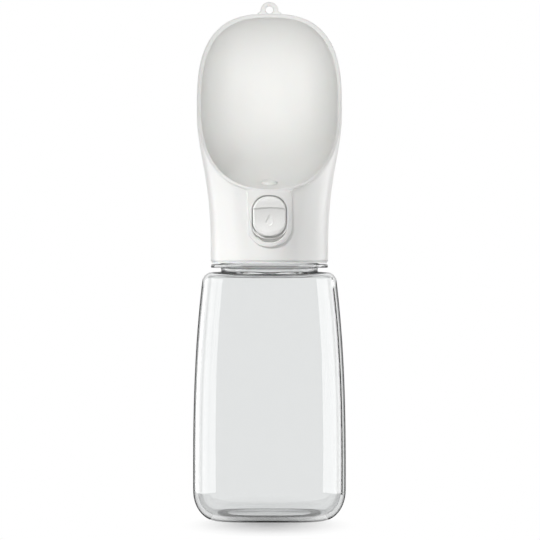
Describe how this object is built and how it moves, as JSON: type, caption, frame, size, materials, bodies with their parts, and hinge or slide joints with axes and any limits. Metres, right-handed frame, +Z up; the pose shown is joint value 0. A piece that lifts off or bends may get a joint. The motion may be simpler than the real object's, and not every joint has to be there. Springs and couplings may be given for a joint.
{
  "type": "dog travel water bottle",
  "caption": "Clear travel bottle with a screw-on white head that holds a scoop-shaped drinking bowl, a push-button water valve, a slide lock and a hang loop.",
  "frame": {"origin": "centre of the bottle's flat base, on the table", "axes": "+Z up the bottle towards the hang loop; the bowl and the button face -Y; +X to the right seen from the front"},
  "size_m": [0.0798, 0.0656, 0.27],
  "materials": {
    "clear_plastic": "clear gloss",
    "silicone": "matt silicone",
    "seal_rubber": "matt",
    "cap_plastic": "fine satin",
    "shell_plastic": "satin gloss",
    "bowl_plastic": "satin gloss",
    "nozzle_plastic": "satin",
    "stem_plastic": "satin",
    "spring_steel": "drawn wire",
    "slider_plastic": "satin",
    "button_plastic": "satin gloss"
  },
  "bodies": {
    "bottle": {"bottle_body": "clear_plastic"},
    "neck_seal": {"neck_gasket": "silicone"},
    "spigot_seal": {"spigot_o_ring": "seal_rubber"},
    "head": {"inner_cap": "cap_plastic", "head_shell": "shell_plastic", "bowl": "bowl_plastic", "outlet_nozzle": "nozzle_plastic", "outlet_sleeve": "silicone", "valve_barrel": "cap_plastic", "valve_foot_gasket": "silicone", "stem_bush": "cap_plastic", "stem_o_ring": "seal_rubber", "valve_spring": "spring_steel", "spring_plug": "cap_plastic", "plug_seal": "seal_rubber"},
    "plunger": {"plunger": "stem_plastic", "poppet_seal": "seal_rubber", "poppet_disc": "stem_plastic"},
    "lock": {"lock_slider": "slider_plastic"},
    "button": {"button": "button_plastic"}
  },
  "joints": [
    {"name": "head_lift_off", "type": "slide", "parent": "bottle", "child": "neck_seal", "axis": [0, 0, 1], "range_m": [0, 0.045]},
    {"name": "thread_rise", "type": "slide", "parent": "neck_seal", "child": "spigot_seal", "axis": [0, 0, 1], "range_m": [0, 0.0061]},
    {"name": "head_unscrew", "type": "hinge", "parent": "spigot_seal", "child": "head", "pos_m": [0, 0, 0.14], "axis": [0, 0, 1], "range_deg": [0, 360]},
    {"name": "plunger_slide", "type": "slide", "parent": "head", "child": "plunger", "axis": [0, 1, 0], "range_m": [0, 0.0025], "deforming": ["valve_spring"]},
    {"name": "lock_slide", "type": "slide", "parent": "head", "child": "lock", "axis": [0, 0, -1], "range_m": [0, 0.0027]},
    {"name": "button_press", "type": "slide", "parent": "lock", "child": "button", "axis": [0, 1, 0], "range_m": [0, 0.0024], "stiffness_N_per_m": 350, "springref_m": -0.004}
  ],
  "couplings": [
    {"joint": "thread_rise", "follows": "head_unscrew", "m_per_rad": 0.00095493},
    {"joint": "plunger_slide", "follows": "button_press", "ratio": 1}
  ]
}
